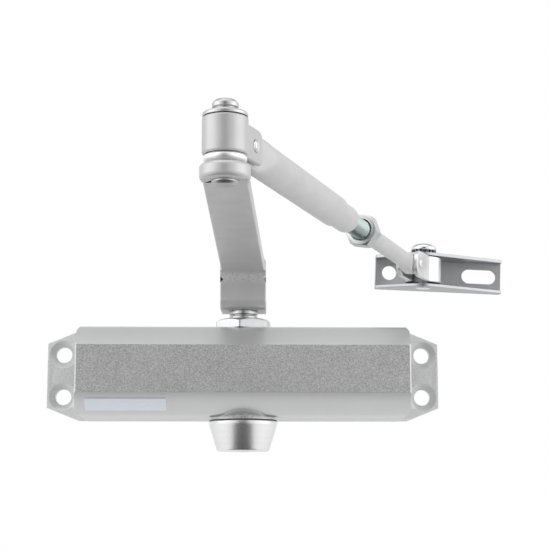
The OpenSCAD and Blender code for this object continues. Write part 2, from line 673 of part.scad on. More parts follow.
// A rivet head: a rim, then a low dome of the given height
module dome_head(d, h, rim) rotate_extrude() intersection() {
    square([d, h]);
    union() {
        square([d / 2, rim]);
        let (r = (pow(d / 2 - 0.6, 2) + pow(h - rim, 2)) / 2 / (h - rim))
            translate([0, h - r]) intersection() {
                circle(r, $fn = 96);
                translate([0, r - (h - rim) - 0.01]) square([d / 2 - 0.6, h]);
            }
    }
}
elbow_stack = barrel_z1 + cone_h + neck_h;
module elbow_rivet() color("silver") at_elbow() {
    translate([0, 0, elbow_stack]) dome_head(elbow_head_d, elbow_head_h, 1.6);
    translate([0, 0, -arm_t]) cylinder(d = elbow_pin_d - 2 * run_gap, h = arm_t + elbow_stack);
    translate([0, 0, -arm_t]) mirror([0, 0, 1]) dome_head(elbow_head_d, elbow_foot_h, 0.7);
}
washer_round = 1.3;
module elbow_washer() color("silver") at_elbow() rotate_extrude() polygon(concat(
    [[elbow_pin_d / 2 + run_gap, 0]],
    corner([elbow_washer_d / 2 - washer_round, washer_round], washer_round, -90, 0),
    [[elbow_washer_d / 2, elbow_washer_h - 0.7],
     [elbow_washer_d / 2 - 0.5, elbow_washer_h - run_gap],
     [elbow_pin_d / 2 + run_gap, elbow_washer_h - run_gap]]));
module elbow_cone_washer() color("silver") at_elbow() translate([0, 0, barrel_z1])
    rotate_extrude() polygon([
        [elbow_pin_d / 2 + run_gap, 0.1], [barrel_d / 2 - 0.1, 0.1], [barrel_d / 2 - 0.1, 1.2],
        [neck_d / 2 + 1.2, cone_h], [neck_d / 2, cone_h], [neck_d / 2, cone_h + neck_h],
        [elbow_pin_d / 2 + run_gap, cone_h + neck_h]]);
module elbow_bush() color("goldenrod") at_elbow() translate([0, 0, barrel_z0]) difference() {
    cylinder(d = bush_d - 2 * run_gap, h = barrel_h);
    translate([0, 0, -1]) cylinder(d = elbow_pin_d + 2 * run_gap, h = barrel_h + 2);
}

// Barrel with two legs that hold the flattened end of the forearm tube
leg_drop = 0.6;      // the legs end this far below the barrel's top
leg_corner = 3.4;
leg_foot_corner = 2;
module knuckle() color("silver") at_elbow() difference() {
    union() {
        translate([0, 0, barrel_z0 + run_gap])
            cylinder(d = barrel_d, h = barrel_h - 2 * run_gap);
        for (s = [-1, 1]) intersection() {
            translate([s * (leg_half - leg_t / 2) - leg_t / 2, 0, barrel_z0 + run_gap])
                cube([leg_t, fork_reach + leg_tail, barrel_h - run_gap - leg_drop]);
            rotate([90, 0, 90]) translate([0, 0, -leg_half - 1])
                linear_extrude(2 * leg_half + 2) leg_side();
        }
    }
    translate([-tab_t / 2 - face_gap, barrel_d / 2 - 0.8, barrel_z0 - 1])
        cube([tab_t + 2 * face_gap, fork_reach + leg_tail, barrel_h + 2]);
    cylinder(d = bush_d, h = barrel_z1 + 2);
    translate([-leg_half - 1, fork_reach, fork_pin_z]) rotate([0, 90, 0])
        cylinder(d = fork_pin_d + 2 * run_gap, h = 2 * leg_half + 2);
}
// A leg seen from the side, with its far corners rounded
module leg_side() {
    far = fork_reach + leg_tail;
    polygon(concat(
        [[0, barrel_z0]],
        corner([far - leg_foot_corner, barrel_z0 + leg_foot_corner], leg_foot_corner, -90, 0),
        corner([far - leg_corner, barrel_z1 - leg_drop - leg_corner], leg_corner, 0, 90),
        [[0, barrel_z1]]));
}
module pin_with_ends(d, half, proud) {
    rotate([0, 90, 0]) cylinder(d = d, h = 2 * half, center = true);
    for (s = [-1, 1]) translate([s * half, 0, 0]) rotate([0, s * 90, 0])
        cylinder(d1 = d, d2 = d - 1.2, h = proud);
}
module fork_pin() color("silver") at_forearm() pin_with_ends(fork_pin_d, leg_half + 0.2, 0.4);

// ---------- forearm ----------

tab_round = 4;
tab_run = 8.4;       // the flattened end stays flat this far past its pin
module tube_end_plate() intersection() {
    translate([-tab_t / 2, -tube_tab_back, -tube_tab_h / 2])
        cube([tab_t, tube_tab_back + tab_run, tube_tab_h]);
    rotate([90, 0, 90]) translate([0, 0, -tab_t]) linear_extrude(2 * tab_t) polygon(concat(
        corner([tab_round - tube_tab_back, -tube_tab_h / 2 + tab_round], tab_round, 180, 270),
        [[tab_run + 1, -tube_tab_h / 2], [tab_run + 1, tube_tab_h / 2]],
        corner([tab_round - tube_tab_back, tube_tab_h / 2 - tab_round], tab_round, 90, 180)));
}
module forearm_tube() color("silver") at_forearm() difference() {
    union() {
        tube_end_plate();
        hull() {
            translate([-tab_t / 2, tab_run - 1, -tube_tab_h / 2])
                cube([tab_t, 0.6, tube_tab_h]);
            rod_y(tube_d, tube_flare_end, tube_flare_end + 0.2, $fn = 32);
        }
        rod_y(tube_d, tube_flare_end, nose_start);
        translate([0, nose_start, 0]) rotate([-90, 0, 0]) cylinder(d1 = tube_d, d2 = nose_d, h = 2);
        rod_y(nose_d, nose_start + 2, tube_len - nose_round);
        translate([0, tube_len - nose_round, 0]) rotate([-90, 0, 0]) rotate_extrude() intersection() {
            union() {
                translate([nose_d / 2 - nose_round, 0]) circle(nose_round);
                square([nose_d / 2 - nose_round, nose_round]);
            }
            square([nose_d, nose_round]);
        }
    }
    rod_y(rod_d + 2 * run_gap, tube_len - rod_bore_depth, tube_len + 1);
    translate([-leg_half, 0, 0]) rotate([0, 90, 0]) cylinder(d = fork_pin_d, h = 2 * leg_half);
}

module threaded_rod() color("silver") at_rod() difference() {
    union() {
        rod_y(rod_d, rod_start_y, thread_end_y);
        rod_y(shank_d, thread_end_y - 1, forearm_len - rod_flare);
        hull() {
            rod_y(shank_d, forearm_len - rod_flare - 4, forearm_len - rod_flare - 3.8, $fn = 32);
            translate([-tab_t / 2, forearm_len - rod_flare + 3, -rod_tab_h / 2])
                cube([tab_t, 0.4, rod_tab_h]);
        }
        intersection() {
            translate([-tab_t / 2, forearm_len - rod_flare + 3, -rod_tab_h / 2])
                cube([tab_t, rod_flare + 3, rod_tab_h]);
            union() {
                translate([-tab_t, forearm_len, 0]) rotate([0, 90, 0])
                    cylinder(d = rod_tab_h, h = 2 * tab_t);
                translate([-tab_t, forearm_len - rod_flare, -rod_tab_h / 2])
                    cube([2 * tab_t, rod_flare, rod_tab_h]);
            }
        }
    }
    translate([-tab_t, forearm_len, 0]) rotate([0, 90, 0])
        cylinder(d = yoke_pin_d + 2 * run_gap, h = 2 * tab_t);
}

jam_turn = 7;
module jam_nut() color("silver") at_rod() translate([0, jam_nut_y, 0]) rotate([-90, 0, 0])
    rotate([0, 0, jam_turn]) difference() {
        intersection() {
            hexagon_bar(jam_nut_af, jam_nut_h);
            for (m = [0, 1]) translate([0, 0, m * jam_nut_h]) mirror([0, 0, m])
                cylinder(d1 = jam_nut_af - 1, d2 = jam_nut_af * 2.2, h = jam_nut_h);
        }
        translate([0, 0, -1]) cylinder(d = rod_d + 2 * run_gap, h = jam_nut_h + 2);
    }

// ---------- yoke and foot ----------

// Keyhole outline: a loop of radius r about the rivet, and legs of half width w back to the pin,
// joined by a round corner that is drawn from one shared centre
fillet_x = yoke_half + yoke_fillet;
fillet_y = yoke_reach - sqrt(pow(loop_r + yoke_fillet, 2) - pow(fillet_x, 2));
module keyhole(r, w, f) {
    translate([0, yoke_reach]) circle(r);
    translate([-w, -yoke_h]) square([2 * w, yoke_h + fillet_y]);
    difference() {
        polygon([[0, yoke_reach], [-fillet_x, fillet_y], [fillet_x, fillet_y]]);
        for (s = [-1, 1]) translate([s * fillet_x, fillet_y]) circle(f);
    }
}
module rod_yoke() color("silver") at_yoke() difference() {
    intersection() {
        translate([0, 0, -yoke_h / 2]) linear_extrude(yoke_h) difference() {
            keyhole(loop_r, yoke_half, yoke_fillet);
            keyhole(loop_r - strap_t, yoke_half - strap_t, yoke_fillet + strap_t);
        }
        union() {
            translate([-loop_r - 1, 0, 0]) rotate([0, 90, 0])
                cylinder(d = yoke_h, h = 2 * loop_r + 2);
            translate([-loop_r - 1, 0, -yoke_h]) cube([2 * loop_r + 2, 2 * yoke_reach, 2 * yoke_h]);
        }
    }
    translate([-loop_r, 0, 0]) rotate([0, 90, 0]) cylinder(d = yoke_pin_d, h = 2 * loop_r);
}
module yoke_pin() color("silver") at_yoke() pin_with_ends(yoke_pin_d, yoke_half + 0.2, 0.4);
module foot_bush() color("goldenrod") at_yoke() translate([0, yoke_reach, -yoke_h / 2]) difference() {
    cylinder(d = 2 * (loop_r - strap_t - run_gap), h = yoke_h);
    translate([0, 0, -1]) cylinder(d = foot_rivet_d + 2 * run_gap, h = yoke_h + 2);
}

// The bracket's flange seen from above: round the rivet, and shallow at the ends
module flange_plan() hull() {
    polygon([[-foot_left, rivet_setback], [-foot_left, rivet_setback - flange_end_depth + 0.8],
             [-foot_left + 0.8, rivet_setback - flange_end_depth],
             [foot_right - 0.8, rivet_setback - flange_end_depth],
             [foot_right, rivet_setback - flange_end_depth + 0.8], [foot_right, rivet_setback]]);
    circle(flange_nose_r);
}
module foot_bracket() color("silver") at_foot() difference() {
    union() {
        for (m = [0, 1]) mirror([0, 0, m]) translate([0, 0, foot_h / 2 - foot_t])
            linear_extrude(foot_t) flange_plan();
        translate([-foot_left, rivet_setback - foot_t, -foot_h / 2])
            cube([foot_len, foot_t, foot_h]);
    }
    translate([0, 0, -foot_h]) cylinder(d = foot_rivet_d, h = 2 * foot_h);
    translate([foot_hole_x, 0, 0]) rod_y(foot_hole_d, rivet_setback - foot_t - 1, rivet_setback + 1);
    for (s = [-1, 1]) translate([foot_hole_x + foot_hole_pitch
                                 + s * (foot_slot_len - foot_hole_d) / 2, 0, 0])
        rod_y(foot_hole_d, rivet_setback - foot_t - 1, rivet_setback + 1);
    translate([foot_hole_x + foot_hole_pitch - (foot_slot_len - foot_hole_d) / 2,
               rivet_setback - foot_t - 1, -foot_hole_d / 2])
        cube([foot_slot_len - foot_hole_d, foot_t + 2, foot_hole_d]);
}
module foot_rivet() color("silver") at_foot() {
    translate([0, 0, -foot_h / 2]) cylinder(d = foot_rivet_d - 2 * run_gap, h = foot_h + toothed_h);
    translate([0, 0, foot_h / 2 + toothed_h]) dome_head(rivet_head_d, rivet_head_h, 0.8);
    translate([0, 0, -foot_h / 2]) mirror([0, 0, 1]) dome_head(7, 0.4, 0.2);
}
// Lock washer with teeth round its edge
tooth_count = 18;
module toothed_washer() color("dimgray") at_foot() translate([0, 0, foot_h / 2])
    linear_extrude(toothed_h) difference() {
        union() {
            circle(d = rivet_head_d - 2.8);
            for (i = [0:tooth_count - 1]) rotate([0, 0, i * 360 / tooth_count])
                translate([rivet_head_d / 2 - 2, -0.5]) square([1.8, 1]);
        }
        circle(d = foot_rivet_d);
    }

body();
label_plate();
left_end_plug();
right_end_plug();
plug_seals();
closing_speed_valve();
latching_valve();
valve_seals();
piston();
piston_seals();
check_ball();
ball_retainer();
closing_spring();
pinion();
upper_bearing();
lower_bearing();
pinion_seals();
gland_nut();
spindle_cap();
main_arm();
arm_washer();
arm_screw();
elbow_rivet();
elbow_washer();
elbow_cone_washer();
elbow_bush();
knuckle();
fork_pin();
forearm_tube();
threaded_rod();
jam_nut();
rod_yoke();
yoke_pin();
foot_bush();
foot_bracket();
foot_rivet();
toothed_washer();
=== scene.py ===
"""Door closer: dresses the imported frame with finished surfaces, lights it and sets the camera.

Lengths in this script are millimetres; MM turns them into Blender's metres when a mesh is made.
"""
import json
import math

import bmesh
import bpy
import numpy as np
from mathutils import Matrix


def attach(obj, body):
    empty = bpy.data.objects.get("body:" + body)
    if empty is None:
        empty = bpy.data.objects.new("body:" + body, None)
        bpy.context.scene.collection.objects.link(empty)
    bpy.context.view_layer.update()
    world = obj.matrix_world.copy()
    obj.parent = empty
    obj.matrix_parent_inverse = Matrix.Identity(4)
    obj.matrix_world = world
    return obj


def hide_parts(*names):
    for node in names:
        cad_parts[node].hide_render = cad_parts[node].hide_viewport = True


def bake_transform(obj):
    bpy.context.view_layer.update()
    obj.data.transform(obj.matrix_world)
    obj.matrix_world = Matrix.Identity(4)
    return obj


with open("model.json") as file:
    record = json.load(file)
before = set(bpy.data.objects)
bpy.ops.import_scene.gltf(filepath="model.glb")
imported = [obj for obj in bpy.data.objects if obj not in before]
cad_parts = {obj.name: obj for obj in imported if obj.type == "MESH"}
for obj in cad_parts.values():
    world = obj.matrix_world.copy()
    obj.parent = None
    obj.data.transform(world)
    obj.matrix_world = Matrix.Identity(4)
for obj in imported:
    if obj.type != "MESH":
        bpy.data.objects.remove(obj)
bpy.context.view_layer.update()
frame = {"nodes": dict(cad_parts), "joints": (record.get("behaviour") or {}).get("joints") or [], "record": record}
MM = 0.001
JOINTS = {joint["name"]: joint for joint in frame["joints"]}
MOUNTS = {mount["name"]: mount for mount in frame["record"]["mounts"]}


# ---------------------------------------------------------------- frames of reference

def unit(v):
    v = np.asarray(v, float)
    return v / np.linalg.norm(v)


def placed(origin, x=None, y=None, z=None):
    """A 4 x 4 frame in millimetres from an origin and two of its axes; the third is their product."""
    if z is None:
        z = np.cross(unit(x), unit(y))
    if x is None:
        x = np.cross(unit(y), unit(z))
    if y is None:
        y = np.cross(unit(z), unit(x))
    out = np.eye(4)
    out[:3, 0], out[:3, 1], out[:3, 2] = unit(x), unit(y), unit(z)
    out[:3, 3] = np.asarray(origin, float) / MM
    return out


UP = (0, 0, 1)
SPINDLE = placed(JOINTS["arm_swing"]["pos_m"], x=(1, 0, 0), z=UP)
ELBOW_AT = np.array(JOINTS["elbow_turn"]["pos_m"])
ARM_AIM = unit((np.array(JOINTS["arm_swing"]["pos_m"]) - ELBOW_AT) * (1, 1, 0))
ARM = placed(JOINTS["arm_swing"]["pos_m"], y=ARM_AIM, z=UP)
ELBOW = placed(ELBOW_AT, x=JOINTS["fork_tilt"]["axis"], z=UP)
FOREARM = placed(JOINTS["fork_tilt"]["pos_m"], x=JOINTS["fork_tilt"]["axis"],
                 y=JOINTS["rod_extend"]["axis"])
ROD = placed(JOINTS["fork_tilt"]["pos_m"], x=JOINTS["yoke_tilt"]["axis"],
             y=JOINTS["rod_extend"]["axis"])
YOKE_AIM = np.array(JOINTS["foot_swing"]["pos_m"]) - JOINTS["yoke_tilt"]["pos_m"]
YOKE = placed(JOINTS["yoke_tilt"]["pos_m"], x=JOINTS["yoke_tilt"]["axis"], y=YOKE_AIM)
FOOT = placed(JOINTS["foot_swing"]["pos_m"], y=MOUNTS["foot_back"]["axis"],
              z=JOINTS["foot_swing"]["axis"])


def into(local, points):
    """Points given in a frame, turned into row coordinates."""
    return points @ local[:3, :3].T + local[:3, 3]


def box_in(node, local):
    """Lowest and highest corner of a CAD node, measured along a frame's own axes."""
    mesh = frame["nodes"][node].data
    co = np.empty(len(mesh.vertices) * 3, np.float32)
    mesh.vertices.foreach_get("co", co)
    points = (co.reshape(-1, 3) / MM - local[:3, 3]) @ local[:3, :3]
    return points.min(0), points.max(0)


# ---------------------------------------------------------------- shader expressions

class Shade:
    """An output socket of a material. Its operators add Math nodes, and node() adds any other."""

    def __init__(self, tree, socket):
        self.tree, self.socket = tree, socket

    def node(self, kind, inputs, out=0, **settings):
        """Adds a node with its settings and its sockets' values or links, and gives one output."""
        made = self.tree.nodes.new("ShaderNode" + kind)
        for key, value in settings.items():
            setattr(made, key, value)
        for key, value in inputs.items():
            if isinstance(value, Shade):
                self.tree.links.new(value.socket, made.inputs[key])
            else:
                made.inputs[key].default_value = value
        return Shade(self.tree, made.outputs[out])

    def math(self, operation, a, b):
        """A Math node of that operation on two values."""
        return self.node("Math", {0: a, 1: b}, operation=operation)

    def __add__(self, other):
        return self.math("ADD", self, other)

    __radd__ = __add__

    def __sub__(self, other):
        return self.math("SUBTRACT", self, other)

    def __rsub__(self, other):
        return self.math("SUBTRACT", other, self)

    def __mul__(self, other):
        return self.math("MULTIPLY", self, other)

    __rmul__ = __mul__

    def over(self, low, high):
        """0 at low and 1 at high, held within that range."""
        return self.node("MapRange", {"Value": self, "From Min": low, "From Max": high})

    def blend(self, first, second):
        """A colour between two colours, where this value is the share of the second."""
        return self.node("Mix", {"Factor": self, "A": first, "B": second}, out=2,
                         data_type="RGBA")

    def noise(self, size, detail=3, rough=0.55):
        """Cloudy noise on this vector, with blobs of the given size in millimetres."""
        return self.node("TexNoise", {"Vector": self, "Scale": 1 / (size * MM), "Detail": detail,
                                      "Roughness": rough})

    def flakes(self, size):
        """A random level for each cell of the given size in millimetres."""
        cells = self.node("TexVoronoi", {"Vector": self, "Scale": 1 / (size * MM)}, out="Color")
        return cells.node("SeparateColor", {"Color": cells})

    def bump(self, height, depth, normal=None):
        """A bumped normal from a height of 0 to 1 that stands for a depth in millimetres."""
        inputs = {"Height": height, "Distance": depth * MM}
        if normal:
            inputs["Normal"] = normal
        return self.node("Bump", inputs)


def grey(level, warm=0.0):
    """A linear colour of a level, a little warm above 0 and a little cool below."""
    return (level * (1 + warm), level, level * (1 - warm), 1)


def started(name):
    """A new material: its Principled node, and Object coordinates as a Shade."""
    material = bpy.data.materials.new(name)
    material.use_nodes = True
    tree = material.node_tree
    shader = tree.nodes["Principled BSDF"]
    coords = tree.nodes.new("ShaderNodeTexCoord")
    return material, shader, Shade(tree, coords.outputs["Object"])


def finished(material, shader, links, **fixed):
    """Connects the shades and sets the plain values of a Principled node."""
    for key, shade in links.items():
        material.node_tree.links.new(shade.socket, shader.inputs[key.replace("_", " ")])
    for key, value in fixed.items():
        shader.inputs[key.replace("_", " ")].default_value = value
    return material


def edge_highlight(at):
    """1 on convex edges and 0 on open faces, from the surface's pointiness: where a painted highlight goes."""
    point = at.node("NewGeometry", {}, out="Pointiness")
    return point.over(0.52, 0.60)


def off_line(at, point, along):
    """Distance in metres from a line, through a point in millimetres along a unit vector."""
    local = at.node("VectorMath", {0: at, 1: [c * MM for c in point]}, operation="SUBTRACT")
    run = local.node("VectorMath", {0: local, 1: list(along)}, out="Value", operation="DOT_PRODUCT")
    lengthwise = run.node("VectorMath", {0: list(along), "Scale": run}, operation="SCALE")
    cross = local.node("VectorMath", {0: local, 1: lengthwise}, operation="SUBTRACT")
    return cross.node("VectorMath", {0: cross}, out="Value", operation="LENGTH")


CASTING_FACE, LUG_FACE = -12, -8         # depths between which the paint turns from casting to lug


def casting_paint():
    """Silver paint: coarse bright flake on the flat front, a finer and smoother coat elsewhere."""
    material, shader, at = started("casting_paint")
    facing = at.node("SeparateXYZ", {"Vector": at.node("NewGeometry", {}, out="Normal")}, out="Y")
    front = facing.node("Math", {0: facing}, operation="ABSOLUTE").over(0.75, 0.95)
    depth = at.node("SeparateXYZ", {"Vector": at}, out="Y")
    lug = depth.over(CASTING_FACE * MM, LUG_FACE * MM)
    flake = at.flakes(0.32)
    grit = at.noise(0.42, detail=3, rough=0.7)
    cloud = at.noise(16, detail=2)
    sparkle = (flake * 0.8 + grit * 0.9 - 0.85) * (front * 0.92 + 0.08)
    level = (sparkle + 0.5 + (cloud - 0.5) * 0.22).over(0.0, 1.0)
    flat = level.blend(grey(0.30), grey(0.74, -0.004))
    slope = level.blend(grey(0.59), grey(0.73, -0.008))
    ear = level.blend(grey(0.68), grey(0.90, -0.008))
    color = lug.blend(front.blend(slope, flat), ear)
    rough = flake * (front * -0.14) + (front * 0.24 + 0.30)
    skin = (grit * 0.7 + flake * 0.3) * (front * 0.8 + 0.2)
    soft = at.node("Bevel", {"Radius": 0.3 * MM}, samples=8)
    return finished(material, shader,
                    {"Base_Color": color, "Roughness": rough, "Metallic": lug * -0.35 + 0.6,
                     "Normal": at.bump(skin, 0.04, soft)})


def satin_paint(name, dark, light, rough, metal=0.5, bend_glint=None):
    """Smooth silver paint with a fine even grain and slight clouding, and a painted highlight on convex edges.

    The last argument, if given, holds a world frame and a half width in millimetres: specks of painted highlight
    lie along its x axis.
    """
    material, shader, at = started(name)
    fine = at.noise(0.25, detail=3)
    cloud = at.noise(9, detail=2)
    level = (fine * 0.45 + cloud * 0.55).over(0.3, 0.7)
    painted_highlight = edge_highlight(at)
    if bend_glint:
        away = off_line(at, *bend_glint[:2])
        painted_highlight = painted_highlight.math("MAXIMUM", painted_highlight,
                         away.over(bend_glint[2] * MM, 0.0) * at.noise(0.9, detail=4).over(0.38, 0.54))
    # Convex edges and the specks along the bend turn a lighter grey: painted highlight.
    color = painted_highlight.blend(level.blend(grey(dark), grey(light)), grey(light * 1.3))
    gloss = (fine - 0.5) * 0.12 + rough
    return finished(material, shader,
                    {"Base_Color": color, "Roughness": gloss, "Normal": at.bump(fine, 0.012)},
                    Metallic=metal, Coat_Weight=0.12, Coat_Roughness=0.25)


def zinc_plate(name, dark, light, rough, tint=0.0, uneven=0.18):
    """Bright zinc plating: cool, slightly mottled, with faint rolling marks."""
    material, shader, at = started(name)
    mottle = at.noise(2.6, detail=4, rough=0.6)
    fine = at.noise(0.18, detail=2)
    streak = at.node("Mapping", {"Vector": at, "Scale": (1.0, 1.0, 9.0)}).noise(3.0, detail=3)
    level = (mottle * 0.6 + streak * 0.4).over(0.3, 0.72)
    color = level.blend(grey(dark, tint), grey(light, tint * 0.6))
    gloss = (mottle - 0.5) * uneven + (fine - 0.5) * 0.1 + rough
    height = fine * 0.5 + streak * 0.5
    return finished(material, shader,
                    {"Base_Color": color, "Roughness": gloss, "Normal": at.bump(height, 0.006)},
                    Metallic=1.0)


def thread_zinc(point, along, root, crest):
    """Greenish zinc on a thread: bright on its crests and near black in its roots, which is painted shade; radii
    in millimetres.
    """
    material, shader, at = started("thread_zinc")
    height = off_line(at, point, along).over(root * MM, crest * MM)
    mottle = at.noise(1.6, detail=4, rough=0.6)
    plated = mottle.over(0.3, 0.7).blend((0.50, 0.60, 0.59, 1), (0.66, 0.74, 0.73, 1))
    # The near black in the thread's roots is painted shade.
    color = height.blend((0.05, 0.06, 0.06, 1), plated)
    gloss = height * -0.2 + mottle * 0.1 + 0.5
    return finished(material, shader, {"Base_Color": color, "Roughness": gloss}, Metallic=0.9)


def turned_metal(name, centre, light, dark, rough):
    """Lathe-turned metal: fine rings about a vertical axis through centre, in millimetres."""
    material, shader, at = started(name)
    local = at.node("Mapping", {"Vector": at, "Location": [-c * MM for c in centre]})
    axis = local.node("SeparateXYZ", {"Vector": local}, out="Z")
    flat = local.node("VectorMath", {0: local, 1: (1, 1, 0)}, operation="MULTIPLY")
    radius = flat.node("VectorMath", {0: flat}, out="Value", operation="LENGTH")
    along = axis.node("CombineXYZ", {"X": axis + radius * 0.9})
    ring = along.noise(0.22, detail=3, rough=0.7)
    broad = along.noise(1.6, detail=2)
    speck = local.noise(0.5, detail=2)
    level = (ring * 0.4 + broad * 0.35 + speck * 0.25).over(0.3, 0.7)
    color = level.blend(grey(dark), grey(light))
    gloss = (ring - 0.5) * 0.16 + (speck - 0.5) * 0.1 + rough
    return finished(material, shader,
                    {"Base_Color": color, "Roughness": gloss, "Normal": at.bump(ring, 0.014)},
                    Metallic=1.0)


def machined(name, color_dark, color_light, rough, metallic=1.0):
    """Plain machined or moulded stock: small tone and gloss changes over a fine grain."""
    material, shader, at = started(name)
    cloud = at.noise(1.4, detail=4)
    fine = at.noise(0.21, detail=2)
    color = cloud.over(0.3, 0.7).blend((*color_dark, 1), (*color_light, 1))
    gloss = (cloud - 0.5) * 0.15 + rough
    return finished(material, shader,
                    {"Base_Color": color, "Roughness": gloss, "Normal": at.bump(fine, 0.01)},
                    Metallic=metallic)


def foil():
    """Pale satin foil of the blank label: even, faintly brushed along its length."""
    material, shader, at = started("label_foil")
    brushed = at.node("Mapping", {"Vector": at, "Scale": (0.05, 1.0, 1.0)}).noise(0.25, detail=3)
    color = brushed.over(0.3, 0.7).blend((0.74, 0.78, 0.86, 1), (0.80, 0.84, 0.91, 1))
    return finished(material, shader, {"Base_Color": color, "Roughness": brushed * 0.12 + 0.36,
                                       "Normal": at.bump(brushed, 0.004)},
                    Metallic=0.25, Coat_Weight=0.3, Coat_Roughness=0.2)


CAP_AXIS = SPINDLE[:3, 3]
CREASE_AHEAD, CREASE_HEIGHT, GLINT_HALF = 11.0, 41.4, 3.6   # the bend over the arm's hub
CREASE = np.array([0, -CREASE_AHEAD, CREASE_HEIGHT]) @ ARM[:3, :3].T + ARM[:3, 3] * (1, 1, 0)
PAINT = casting_paint()
# The arm gets specks of painted highlight along the bend over its hub.
ARM_PAINT = satin_paint("arm_paint", 0.52, 0.62, 0.40, bend_glint=(CREASE, ARM[:3, 0], GLINT_HALF))
TUBE_PAINT = satin_paint("tube_paint", 0.60, 0.68, 0.52, metal=0.25)
KNUCKLE_PAINT = satin_paint("knuckle_paint", 0.52, 0.60, 0.42)
ZINC = zinc_plate("zinc_plate", 0.46, 0.66, 0.24, tint=-0.02)
BRIGHT_ZINC = zinc_plate("bright_zinc", 0.66, 0.84, 0.18)
YOKE_ZINC = zinc_plate("yoke_zinc", 0.72, 0.82, 0.40, uneven=0.1)
NUT_ZINC = zinc_plate("nut_zinc", 0.50, 0.62, 0.34, tint=-0.01, uneven=0.12)
THREAD_ZINC = thread_zinc(ROD[:3, 3], ROD[:3, 1], root=3.35, crest=3.85)
FOOT_ZINC = zinc_plate("foot_zinc", 0.42, 0.50, 0.36, tint=-0.02, uneven=0.08)
TURNED = turned_metal("turned_aluminium", CAP_AXIS, 0.97, 0.86, 0.30)
SPINDLE_STEEL = turned_metal("spindle_steel", CAP_AXIS, 0.56, 0.42, 0.30)
ELBOW_STEEL = turned_metal("elbow_steel", ELBOW[:3, 3], 0.60, 0.50, 0.38)
WASHER_STEEL = turned_metal("washer_steel", ELBOW[:3, 3], 0.97, 0.88, 0.38)
FOIL = foil()
PLUG_STEEL = machined("plug_steel", (0.16, 0.16, 0.17), (0.24, 0.24, 0.25), 0.36)
RUBBER = machined("seal_rubber", (0.015, 0.015, 0.015), (0.03, 0.03, 0.03), 0.62, metallic=0.0)
BRASS = machined("brass", (0.56, 0.40, 0.15), (0.72, 0.54, 0.24), 0.26)
BRONZE = machined("bronze", (0.42, 0.26, 0.13), (0.56, 0.36, 0.19), 0.42)
STEEL = machined("ground_steel", (0.40, 0.40, 0.41), (0.55, 0.55, 0.57), 0.28)
SPRING_STEEL = machined("spring_steel", (0.10, 0.10, 0.11), (0.17, 0.17, 0.18), 0.35)


# ---------------------------------------------------------------- building surfaces

BODY_OF = {node: body for body, nodes in frame["record"]["behaviour"]["bodies"].items()
           for node in nodes}


def added(name, data):
    """A new object in the scene that shows a mesh, a lamp or a camera."""
    obj = bpy.data.objects.new(name, data)
    bpy.context.scene.collection.objects.link(obj)
    return obj


def smooth(mesh, crease):
    """Shades a mesh smooth, apart from edges that turn by more than an angle in degrees."""
    mesh.polygons.foreach_set("use_smooth", [True] * len(mesh.polygons))
    mesh.set_sharp_from_angle(angle=math.radians(crease))


def shaded(obj, body, material):
    """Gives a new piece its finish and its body."""
    obj.data.materials.clear()
    obj.data.materials.append(material)
    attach(obj, body)
    return obj


def instead_of(node, obj, material):
    """Puts a new piece in a CAD node's place and on its body."""
    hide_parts(node)
    return shaded(obj, BODY_OF[node], material)


def closed_mesh(name, points, faces, crease=35):
    """A mesh from row coordinates in millimetres, with its doubles merged and faces outwards."""
    mesh = bpy.data.meshes.new(name)
    mesh.from_pydata((points * MM).tolist(), [], faces.tolist())
    work = bmesh.new()
    work.from_mesh(mesh)
    bmesh.ops.remove_doubles(work, verts=work.verts, dist=1e-7)
    bmesh.ops.recalc_face_normals(work, faces=work.faces)
    work.to_mesh(mesh)
    work.free()
    smooth(mesh, crease)
    return added(name, mesh)


def grid_faces(rows, columns, ring=False):
    """Quads over a grid of rows by columns. A ring also joins the last row to the first."""
    last = rows if ring else rows - 1
    i, j = np.meshgrid(np.arange(last), np.arange(columns), indexing="ij")
    up, right = (i + 1) % rows, (j + 1) % columns
    return np.stack([i * columns + j, up * columns + j, up * columns + right,
                     i * columns + right], axis=-1).reshape(-1, 4)


def swept(name, loops, local, crease=35, ring=False):
    """A surface through loops of points, each loop closed. Unless it is a ring, both ends close."""
    loops = np.asarray(loops, float)
    if not ring:
        first = np.broadcast_to(loops[0].mean(0), loops[0].shape)
        last = np.broadcast_to(loops[-1].mean(0), loops[-1].shape)
        loops = np.concatenate([first[None], loops, last[None]])
    rows, columns = loops.shape[:2]
    points = into(local, loops.reshape(-1, 3))
    return closed_mesh(name, points, grid_faces(rows, columns, ring), crease)


def rounded(points, steps=6):
    """A polyline of (a, b, radius) corners, each turned into an arc of its radius."""
    points = np.asarray(points, float)
    out = [points[0, :2]]
    for before, corner, after in zip(points, points[1:], points[2:]):
        radius = corner[2]
        into_corner, out_of = before[:2] - corner[:2], after[:2] - corner[:2]
        a, b = unit(into_corner), unit(out_of)
        half = math.acos(np.clip(a @ b, -1, 1)) / 2
        if radius <= 0 or half < 0.01 or half > math.pi / 2 - 0.01:
            out.append(corner[:2])
            continue
        reach = min(radius / math.tan(half), np.linalg.norm(into_corner) * 0.49,
                    np.linalg.norm(out_of) * 0.49)
        centre = corner[:2] + unit(a + b) * reach / math.cos(half)
        start, end = corner[:2] + a * reach - centre, corner[:2] + b * reach - centre
        sweep = math.acos(np.clip(unit(start) @ unit(end), -1, 1))
        for t in np.linspace(0, 1, steps):
            out.append(centre + (start * math.sin((1 - t) * sweep) + end * math.sin(t * sweep))
                       / math.sin(sweep))
    out.append(points[-1, :2])
    return np.array(out)


